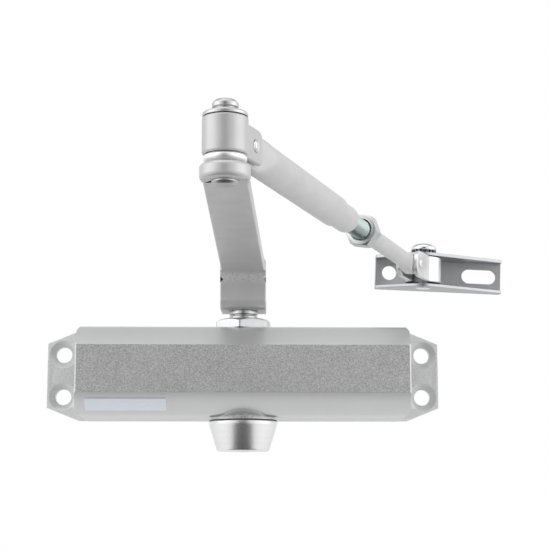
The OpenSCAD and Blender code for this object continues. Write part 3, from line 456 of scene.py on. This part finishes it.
def turned(name, profile, local, sides=96, axis="z", ring=False):
    """A profile of (radius, height) turned about a frame's z axis, or its x axis."""
    angle = np.arange(sides) / sides * 2 * np.pi
    radius, height = np.asarray(profile).T
    ring_x, ring_y = np.outer(radius, np.cos(angle)), np.outer(radius, np.sin(angle))
    ring_z = np.broadcast_to(height[:, None], ring_x.shape)
    order = (ring_x, ring_y, ring_z) if axis == "z" else (ring_z, ring_x, ring_y)
    return swept(name, np.stack(order, axis=-1), local, ring=ring)


def ring_of(name, bore, low, high, outer, local):
    """A turned ring: its bore, then outer corners of (radius, height, rounding) from low to high."""
    profile = [(bore, (low + high) / 2, 0), (bore, low, 0), *outer, (bore, high, 0),
               (bore, (low + high) / 2, 0)]
    return turned(name, rounded(profile)[:-1], local, ring=True)


def domed_pin(name, radius, half, local, dome=0.55):
    """A pin along a frame's x axis with a dome at each end and a shallow ring round each dome."""
    end = rounded([(radius, half - dome - 0.35, 0), (radius, half - dome, 0.12),
                   (radius - 0.25, half - dome, 0.1), (radius * 0.72, half - 0.12, radius * 0.5),
                   (0, half, 0)], steps=7)
    return turned(name, np.concatenate([end[::-1] * (1, -1), end]), local, axis="x")


HEX_POWER = 70                           # a higher power gives a hexagon sharper corners


def hexagon(angle, flats):
    """Radius of a hexagon across its flats at each angle, with slightly rounded corners.

    The radius is the inverse of a high power mean of the six sides' distances.
    """
    sides = np.arange(6) * np.pi / 3
    reach = np.maximum(np.cos(angle[:, None] - sides), 0) / (flats / 2)
    return (reach ** HEX_POWER).sum(1) ** (-1 / HEX_POWER)


NUT_SIDES = 240                          # points round a nut
NUT_FACE, NUT_MOUTH = 0.475, 0.5         # radius of its face over its flats, and its bore's chamfer


def nut(name, flats, height, bore, local, both=False, turn=0.0, axis="z", start=0.0):
    """A hexagon nut: at each height its radius is the lesser of the hexagon and a 30 degree cone.

    The cone cuts its upper corners, and with both its lower ones too.
    """
    angle = np.arange(NUT_SIDES) / NUT_SIDES * 2 * np.pi
    outline = hexagon(angle - math.radians(turn), flats)
    face, slope = flats * NUT_FACE, math.tan(math.radians(30))
    rise = np.linspace(0, (outline.max() - face) * slope, 10)
    cone = face + rise / slope
    foot = (rise, cone) if both else (np.zeros(1), outline.max(keepdims=True))
    levels = np.concatenate([foot[0], height - rise[::-1]])
    radius = np.minimum(outline, np.concatenate([foot[1], cone[::-1]])[:, None])
    levels = np.concatenate([[NUT_MOUTH, 0], levels, [height, height - NUT_MOUTH]]) + start
    hole = np.array([bore, bore + NUT_MOUTH])[:, None].repeat(NUT_SIDES, 1)
    radius = np.concatenate([hole, radius, hole[::-1]])
    x, y = radius * np.cos(angle), radius * np.sin(angle)
    z = np.broadcast_to(levels[:, None], x.shape)
    loops = np.stack((x, y, z) if axis == "z" else (y, z, x), axis=-1)
    return swept(name, loops, local, crease=32, ring=True)


def eased(t):
    """0 to 1 with level ends."""
    t = np.clip(t, 0, 1)
    return t * t * (3 - 2 * t)


SECTION_SIDES = 96                       # points round the forearm


def section(y, wide, tall, power):
    """One loop of points across the forearm at a distance along it: a superellipse.

    Its half width and half height are wide and tall, and its sides grow flatter with its power.
    """
    angle = np.arange(SECTION_SIDES) / SECTION_SIDES * 2 * np.pi
    c, s = np.cos(angle), np.sin(angle)
    return np.stack([wide * np.sign(c) * abs(c) ** (2 / power), np.full(SECTION_SIDES, y),
                     tall * np.sign(s) * abs(s) ** (2 / power)], axis=-1)


def round_edges(obj, widths, segments):
    """Rounds each edge of an object by its own width in millimetres, and none where that is 0."""
    weights = obj.data.attributes.new("bevel_weight_edge", "FLOAT", "EDGE")
    weights.data.foreach_set("value", widths / widths.max())
    bevel = obj.modifiers.new("edges", "BEVEL")
    bevel.width = widths.max() * MM
    bevel.segments = segments
    bevel.limit_method = "WEIGHT"
    bevel.use_clamp_overlap = False
    bevel.miter_outer = "MITER_ARC"


def soft_copy(node, width, material, wide=None, segments=3, limit=28):
    """A copy of a CAD node in its place, with edges that turn by over limit degrees made round.

    Their width is in millimetres, and wide(middles) gives those at some points a width of their own.
    The copy's triangles are merged into flat faces first, so that only real edges are rounded.
    With no width the triangles and edges stay, and the curved faces between them are smoothed.
    """
    mesh = frame["nodes"][node].data.copy()
    mesh.name = node + "_finished"
    obj = added(node + "_finished", mesh)
    work = bmesh.new()
    work.from_mesh(mesh)
    bmesh.ops.remove_doubles(work, verts=work.verts, dist=2e-6)
    if width:
        bmesh.ops.dissolve_limit(work, angle_limit=math.radians(0.6), verts=work.verts,
                                 edges=work.edges, delimit=set())
    turn = np.array([edge.calc_face_angle(0) for edge in work.edges])
    middle = np.array([(edge.verts[0].co + edge.verts[1].co) / 2 for edge in work.edges]) / MM
    work.to_mesh(mesh)
    work.free()
    if width:
        mesh.polygons.foreach_set("use_smooth", [True] * len(mesh.polygons))
        widths = np.where(turn > math.radians(limit), width, 0.0)
        if wide:
            own = wide(middle)
            widths = np.where((widths > 0) & (own > 0), own, widths)
        round_edges(obj, widths, segments)
    else:
        smooth(mesh, limit)
    level = obj.modifiers.new("faces", "WEIGHTED_NORMAL")
    level.weight = 100
    level.keep_sharp = True
    return instead_of(node, obj, material)


# ---------------------------------------------------------------- body and its cap

soft_copy("body", 0, PAINT, limit=14)
soft_copy("label_plate", 0.12, FOIL)
for plug in ("left_end_plug", "right_end_plug"):
    soft_copy(plug, 0.3, PLUG_STEEL)
for valve in ("closing_speed_valve", "latching_valve"):
    soft_copy(valve, 0.15, BRASS)

cap_low, cap_high = box_in("spindle_cap", SPINDLE)
CAP_RIM, CAP_FLOOR = cap_high[0], cap_low[2]
CAP_BASE = CAP_RIM - 3.9                 # radius of the cone's narrow end
CAP_SEAT, SHADOW_RING_H = -20.7, 0.5
SHADOW_RING_BORE, SHADOW_RING_R = 10.0, CAP_RIM - 0.45
NECK_R, NECK_TOP = 9.9, CAP_SEAT + 3.4   # what is screwed into the casting
BORE_TOP_R, BORE_END_R, BORE_END = 7.0, 6.4, CAP_SEAT - 11.4
RIM_LOW = CAP_SEAT - SHADOW_RING_H              # the rim meets the black ring of painted shadow here
cap_profile = rounded([
    (0, CAP_FLOOR + 0.35, 0), (CAP_BASE - 2.2, CAP_FLOOR + 0.35, 0.3),
    (CAP_BASE - 1.9, CAP_FLOOR, 0.3), (CAP_BASE, CAP_FLOOR, 1.3),
    (CAP_RIM - 0.25, CAP_SEAT - 2.0, 0.4), (CAP_RIM, RIM_LOW - 0.3, 0.2),
    (CAP_RIM - 0.25, RIM_LOW, 0.12), (NECK_R, RIM_LOW, 0), (NECK_R, NECK_TOP, 0),
    (BORE_TOP_R, NECK_TOP, 0), (BORE_END_R, BORE_END, 0), (0, BORE_END, 0)])
instead_of("spindle_cap", turned("cap", cap_profile, SPINDLE, sides=160), TURNED)
# A thin black ring between the cap's rim and the casting stands in for the shadow in that gap: a painted shadow
# line.
shaded(ring_of("cap_shadow_ring", SHADOW_RING_BORE, RIM_LOW, CAP_SEAT,
               [(SHADOW_RING_R, RIM_LOW, 0), (SHADOW_RING_R, CAP_SEAT, 0)], SPINDLE),
       "housing", RUBBER)

# ---------------------------------------------------------------- pinion, gland nut and main arm

soft_copy("pinion", 0.25, SPINDLE_STEEL, segments=2)
GLAND_FLATS, GLAND_SEAT, GLAND_HEIGHT, GLAND_BORE_R, GLAND_TURN = 22.5, 19.2, 4.1, 6.4, -8.3
instead_of("gland_nut", nut("gland", GLAND_FLATS, GLAND_HEIGHT, GLAND_BORE_R, SPINDLE,
                            turn=GLAND_TURN, start=GLAND_SEAT), NUT_ZINC)
EYE_EDGE, ARM_EDGE, NOTCH_EDGE = 1.7, 0.5, 0.06      # widths of rounded edges
EYE_R, NOTCH_REACH, NOTCH_FROM = 7.9, 4, 6           # notches: from the crease, and from mid-arm


def eye_width(points):
    """The arm's edges grow rounder towards the end of its eye, by the cosine of the way round."""
    local = (points - ELBOW_AT / MM) @ ARM[:3, :3]
    reach = np.hypot(local[:, 0], local[:, 1])
    ahead = np.clip(-local[:, 1] / np.maximum(reach, 1e-6) * 1.6 + 0.5, 0, 1)
    round_eye = np.where(abs(reach - EYE_R) < 0.5, ARM_EDGE + (EYE_EDGE - ARM_EDGE) * ahead, 0)
    off_crease = np.linalg.norm(np.cross(points - CREASE, ARM[:3, 0]), axis=1)
    at_notch = (off_crease < NOTCH_REACH) & (abs((points - CREASE) @ ARM[:3, 0]) > NOTCH_FROM)
    return np.where(at_notch, NOTCH_EDGE, round_eye)


soft_copy("main_arm", ARM_EDGE, ARM_PAINT, wide=eye_width, segments=5)
washer_low, washer_high = (corner[2] for corner in box_in("arm_washer", ARM))
WASHER_R, WASHER_BORE = 4.2, 2.7
instead_of("arm_washer", ring_of("screw_washer", WASHER_BORE, washer_low, washer_high,
                                 [(WASHER_R, washer_low, 0.3), (WASHER_R, washer_high, 0.5)],
                                 ARM), ZINC)
soft_copy("arm_screw", 0.3, ZINC)

# ---------------------------------------------------------------- elbow

BARREL_LOW, BARREL_HIGH, PLAY = 2.9, 14.7, 0.1       # heights above the arm, and play at each end
RIVET_R, RIVET_BORE = 2.9, 3.1                       # radii of the rivet and of the washers' bores
CONE_H, CONE_NECK_R, NECK_H, HEAD_R, HEAD_H = 2.2, 3.5, 0.8, 4.2, 2.65
ARM_T, CLENCH_H = 5.1, 1.6                           # the arm, and the rivet's end below it
LOWER_R, UPPER_R, CONE_R = 6.8, 7.1, 4.7             # both washers, and the upper one's cone
HEAD_LOW = BARREL_HIGH + CONE_H + NECK_H
rivet_profile = rounded([
    (0, -ARM_T - CLENCH_H, 0), (3.0, -ARM_T - CLENCH_H + 0.1, 2.0), (HEAD_R, -ARM_T - 0.6, 0.5),
    (HEAD_R, -ARM_T, 0.1), (RIVET_R, -ARM_T, 0), (RIVET_R, HEAD_LOW, 0),
    (HEAD_R - 0.1, HEAD_LOW, 0.3), (HEAD_R, HEAD_LOW + 1.4, 0.8),
    (HEAD_R - 1.1, HEAD_LOW + HEAD_H - 0.1, 1.0), (0, HEAD_LOW + HEAD_H, 0)], steps=8)
instead_of("elbow_rivet", turned("elbow_button", rivet_profile, ELBOW), ELBOW_STEEL)
instead_of("elbow_washer",
           ring_of("lower_washer", RIVET_BORE, 0, BARREL_LOW - PLAY,
                   [(LOWER_R - 1.3, 0, 1.2), (LOWER_R, 1.1, 1.1), (LOWER_R, 2.1, 0.8),
                    (LOWER_R - 0.6, BARREL_LOW - PLAY, 0.3)], ELBOW), WASHER_STEEL)
instead_of("elbow_cone_washer",
           ring_of("upper_washer", RIVET_BORE, BARREL_HIGH + PLAY, HEAD_LOW,
                   [(UPPER_R, BARREL_HIGH + PLAY, 0.15), (UPPER_R, BARREL_HIGH + 1.3, 0.7),
                    (CONE_R, BARREL_HIGH + CONE_H, 0.6), (CONE_NECK_R, BARREL_HIGH + CONE_H, 0.3),
                    (CONE_NECK_R, HEAD_LOW, 0)], ELBOW), ELBOW_STEEL)
soft_copy("knuckle", 0.7, KNUCKLE_PAINT, segments=4)
PIN_HALF, FORK_PIN_R, YOKE_PIN_R = 5.5, 1.8, 2.1
instead_of("fork_pin", domed_pin("fork_pin_domed", FORK_PIN_R, PIN_HALF, FOREARM), BRIGHT_ZINC)

# ---------------------------------------------------------------- forearm

TUBE_END, TUBE_R, NOSE_R, NOSE_AT, MOUTH_R = 100.0, 5.9, 5.2, 84.0, 4.05
NOSE_STEP, LIP, LIP_DRAW = 2.4, 2.6, 0.42        # the step's length, the lip's length and its draw-in
TAB_HALF, TAB_TALL, TAB_BACK, TAB_ROUND = 2.48, 6.3, 4.6, 4.0
TAB_POWER = 6.0                                  # of the superellipse of a flattened end
FLARE_HALF, FLARE_FROM, FLARE_TO = 2.5, 7.2, 16.0


def tube_loops():
    """Flattened end, flare, round run, stepped nose, rounded lip and bore, in that order."""
    loops = []
    for t in np.linspace(0.12, np.pi / 2, 12):
        loops.append(section(TAB_ROUND * (1 - math.cos(t)) - TAB_BACK, TAB_HALF,
                             TAB_TALL - TAB_ROUND * (1 - math.sin(t)), TAB_POWER))
    for y in np.linspace(0.5, FLARE_TO, 36):
        flare = float(eased((y - FLARE_FROM) / (FLARE_TO - FLARE_FROM)))
        loops.append(section(y, FLARE_HALF + (TUBE_R - FLARE_HALF) * flare,
                             TAB_TALL + (TUBE_R - TAB_TALL) * flare,
                             TAB_POWER - (TAB_POWER - 2) * flare ** 0.5))
    for y in np.linspace(FLARE_TO + 2, NOSE_AT - 1, 30):
        loops.append(section(y, TUBE_R, TUBE_R, 2))
    for t in np.linspace(0, 1, 9):
        radius = TUBE_R + (NOSE_R - TUBE_R) * float(eased(t))
        loops.append(section(NOSE_AT + NOSE_STEP * t, radius, radius, 2))
    for t in np.linspace(0, np.pi / 2, 12):
        reach = NOSE_R - LIP * LIP_DRAW * (1 - math.cos(t))
        loops.append(section(TUBE_END - LIP + LIP * math.sin(t), reach, reach, 2))
    for y in (TUBE_END - 0.15, TUBE_END - 6, TUBE_END - 30):
        loops.append(section(y, MOUTH_R, MOUTH_R, 2))
    return loops


instead_of("forearm_tube", swept("tube", tube_loops(), FOREARM, crease=50), TUBE_PAINT)

ROD_FROM, THREAD_TO, THREAD_FADE = 64.5, 126.5, 1.5
CREST_R, THREAD_PITCH, THREAD_DEPTH = 3.9, 1.25, 0.62
SHANK_R, ROD_TAB_R, TAB_LENGTH, TAB_EASE = 3.55, 4.4, 9.0, 6.4
YOKE_AT = float((np.array(JOINTS["yoke_tilt"]["pos_m"]) / MM - ROD[:3, 3]) @ ROD[:3, 1])


def thread_loops():
    """A helical thread: the radius falls with the distance from the crest that winds round it."""
    y = np.arange(ROD_FROM, THREAD_TO, THREAD_PITCH / 10)
    angle = np.arange(56) / 56 * 2 * np.pi
    turns = y[:, None] / THREAD_PITCH - angle / (2 * np.pi)
    off_crest = abs(turns - np.round(turns)) * 2
    fade = np.clip(np.minimum(y - ROD_FROM, THREAD_TO - y) / THREAD_FADE, 0, 1)[:, None]
    radius = CREST_R - THREAD_DEPTH * np.clip(off_crest * 1.25 - 0.12, 0, 1) * fade
    return np.stack([radius * np.cos(angle), np.broadcast_to(y[:, None], radius.shape),
                     radius * np.sin(angle)], axis=-1)


def rod_tab_loops():
    """Painted rod from the thread's end, flattened into the tab that the yoke holds."""
    flat_from = YOKE_AT - TAB_LENGTH
    loops = [section(THREAD_TO - 0.5, SHANK_R - 0.4, SHANK_R - 0.4, 2)]
    for y in np.linspace(THREAD_TO, flat_from, 16):
        loops.append(section(y, SHANK_R, SHANK_R, 2))
    for y in np.linspace(flat_from + 0.4, YOKE_AT, 24):
        flat = float(eased((y - flat_from) / TAB_EASE))
        loops.append(section(y, SHANK_R + (TAB_HALF - SHANK_R) * flat,
                             SHANK_R + (ROD_TAB_R - SHANK_R) * flat, 2 + (TAB_POWER - 2) * flat))
    for t in np.linspace(0.12, np.pi / 2 - 0.12, 12):
        loops.append(section(YOKE_AT + ROD_TAB_R * math.sin(t), TAB_HALF,
                             ROD_TAB_R * math.cos(t), TAB_POWER))
    return loops


instead_of("threaded_rod", swept("rod_thread", thread_loops(), ROD, crease=60), THREAD_ZINC)
shaded(swept("rod_tab", rod_tab_loops(), ROD, crease=50), "rod", TUBE_PAINT)

jam_low, jam_high = (corner[1] for corner in box_in("jam_nut", ROD))
JAM_FLATS, JAM_BORE_R, JAM_TURN = 12.0, 4.0, 7
instead_of("jam_nut", nut("lock_nut", JAM_FLATS, jam_high - jam_low, JAM_BORE_R, ROD, both=True,
                          turn=JAM_TURN, axis="y", start=jam_low), NUT_ZINC)

# ---------------------------------------------------------------- yoke and foot

soft_copy("rod_yoke", 0.5, YOKE_ZINC, segments=4)
instead_of("yoke_pin", domed_pin("yoke_pin_domed", YOKE_PIN_R, PIN_HALF, YOKE, dome=0.35),
           YOKE_ZINC)

FOOT_HIGH = box_in("foot_bracket", FOOT)[1]
BEND_EDGE = 1.6


def bend_width(points):
    """The two outer edges where the foot's flanges are bent from its web are rounder."""
    local = (points - FOOT[:3, 3]) @ FOOT[:3, :3]
    at_back = abs(local[:, 1] - FOOT_HIGH[1]) < 0.05
    at_edge = abs(abs(local[:, 2]) - FOOT_HIGH[2]) < 0.05
    return np.where(at_back & at_edge, BEND_EDGE, 0)


soft_copy("foot_bracket", 0.3, FOOT_ZINC, wide=bend_width, segments=5)
HALF_FOOT, DOME_LOW, DOME_R, DOME_TOP, FOOT_SHANK_R = 7.8, 9.1, 5.8, 12.5, 2.6
DOME_FROM = DOME_LOW + 0.7
dome_turn = np.linspace(0, np.pi / 2, 14)
foot_profile = np.concatenate([
    rounded([(0, -HALF_FOOT - 0.4, 0), (2.9, -HALF_FOOT - 0.35, 0.5), (3.5, -HALF_FOOT, 0.1),
             (FOOT_SHANK_R, -HALF_FOOT, 0), (FOOT_SHANK_R, DOME_LOW, 0),
             (DOME_R - 0.2, DOME_LOW, 0.15), (DOME_R, DOME_LOW + 0.4, 0)]),
    np.stack([DOME_R * np.cos(dome_turn) ** 0.8,
              DOME_FROM + (DOME_TOP - DOME_FROM) * np.sin(dome_turn)], axis=-1)])
instead_of("foot_rivet", turned("foot_button", foot_profile, FOOT), BRIGHT_ZINC)
soft_copy("toothed_washer", 0.12, SPRING_STEEL, segments=2)

# ---------------------------------------------------------------- what is inside

HIDDEN_FINISH = {
    "plug_seals": RUBBER, "valve_seals": RUBBER, "piston_seals": RUBBER, "pinion_seals": RUBBER,
    "piston": STEEL, "check_ball": STEEL, "ball_retainer": BRASS, "foot_bush": STEEL,
    "upper_bearing": BRONZE, "lower_bearing": BRONZE, "elbow_bush": BRONZE}
for node, material in HIDDEN_FINISH.items():
    data = frame["nodes"][node].data
    data.materials.clear()
    data.materials.append(material)
    smooth(data, 35)

# The closing spring shortens and stretches between its end plug and the piston; this copy of it is only finished
# and put in its place.
coil = added("closing_coil", frame["nodes"]["closing_spring"].data.copy())
coil.data.materials.clear()
coil.data.materials.append(SPRING_STEEL)
smooth(coil.data, 50)
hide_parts("closing_spring")
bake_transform(coil)

# ---------------------------------------------------------------- floor, light and camera


def seen_directly(tree):
    """1 for what the camera, gloss and glass see, and 0 for diffuse light."""
    path = tree.nodes.new("ShaderNodeLightPath")
    rays = [Shade(tree, path.outputs[name])
            for name in ("Is Camera Ray", "Is Glossy Ray", "Is Transmission Ray")]
    return rays[0].math("MAXIMUM", rays[0], rays[1].math("MAXIMUM", rays[1], rays[2]))


def stage_material(name, level):
    material = bpy.data.materials.new(name)
    material.use_nodes = True
    shader = material.node_tree.nodes["Principled BSDF"]
    shader.inputs["Base Color"].default_value = grey(level)
    shader.inputs["Roughness"].default_value = 0.9
    return material


def panel(name, centre, across, up, material):
    """A flat rectangle about a centre, spanned by two half-side vectors in millimetres."""
    centre, across, up = (np.array(v, float) for v in (centre, across, up))
    corners = np.array([centre - across - up, centre + across - up, centre + across + up,
                        centre - across + up])
    mesh = bpy.data.meshes.new(name)
    mesh.from_pydata((corners * MM).tolist(), [], [(0, 1, 2, 3)])
    mesh.materials.append(material)
    obj = added(name, mesh)
    return obj


def dark_card(name, centre, across, up, level):
    """A card that only glossy surfaces see, for the dark stripes in polished metal."""
    card = panel(name, centre, across, up, stage_material(name, level))
    card.visible_camera = card.visible_diffuse = card.visible_shadow = False
    return card


FLOOR = stage_material("floor_white", 0.9)
GLOW = 0.5                               # share of plain white that camera and gloss see of it
tree = FLOOR.node_tree
matte = Shade(tree, tree.nodes["Principled BSDF"].outputs[0])
glow = matte.node("Emission", {"Strength": 1.0})
lit = matte.node("MixShader", {0: seen_directly(tree) * GLOW, 1: matte, 2: glow})
tree.links.new(lit.socket, tree.nodes["Material Output"].inputs["Surface"])
FLOOR_AT, FLOOR_HALF = (0, 0, -260), 3000
panel("floor", FLOOR_AT, (FLOOR_HALF, 0, 0), (0, FLOOR_HALF, 0), FLOOR)
dark_card("front_card", (-60, -1700, 150), (430, 0, 0), (0, 0, 900), 0.05)
dark_card("low_card", (-10, -480, -200), (170, 0, 0), (0, 440, 0), 0.08)
dark_card("high_card", (0, 450, 900), (700, 0, 0), (0, 500, 0), 0.85)


def lamp(name, at, aim, size, watts):
    """A soft square area lamp in millimetres, pointed at a place."""
    data = bpy.data.lights.new(name, "AREA")
    data.shape, data.size, data.energy = "SQUARE", size * MM, watts
    back = unit(np.array(at, float) - aim)
    side = unit(np.cross(UP, back))
    turn = np.stack([side, np.cross(back, side), back], axis=1)
    added(name, data).matrix_world = Matrix(
        [[*turn[i], at[i] * MM] for i in range(3)] + [[0, 0, 0, 1]])


MIDDLE, LAMP_SIZE = (10, -80, 20), 1200
lamp("overhead", (-150, -150, 1100), MIDDLE, LAMP_SIZE, 3.5)
lamp("left_fill", (-1100, -500, 300), MIDDLE, LAMP_SIZE, 4.5)
lamp("right_fill", (1100, -400, 250), MIDDLE, LAMP_SIZE, 4.5)

world = bpy.data.worlds.new("studio")
bpy.context.scene.world = world
world.use_nodes = True
background = world.node_tree.nodes["Background"]
background.inputs["Color"].default_value = (1, 1, 1, 1)
AMBIENT = 0.55                           # the white surroundings are this bright as light
strength = seen_directly(world.node_tree) * (1 - AMBIENT) + AMBIENT
world.node_tree.links.new(strength.socket, background.inputs["Strength"])

EYE, YAW, PITCH = (-0.28, -608.4, -50.2), 1.386, 9.087
SENSOR, LENS = 36.0, 87.447273
camera_data = bpy.data.cameras.new("camera")
camera_data.sensor_width, camera_data.lens = SENSOR, LENS
camera_data.clip_start, camera_data.clip_end = 0.01, 20
camera = added("camera", camera_data)
camera.location = [c * MM for c in EYE]
camera.rotation_euler = (math.radians(90 + PITCH), 0, math.radians(-YAW))
bpy.context.scene.camera = camera
bpy.context.scene.view_settings.view_transform = "Standard"

bpy.context.view_layer.update()
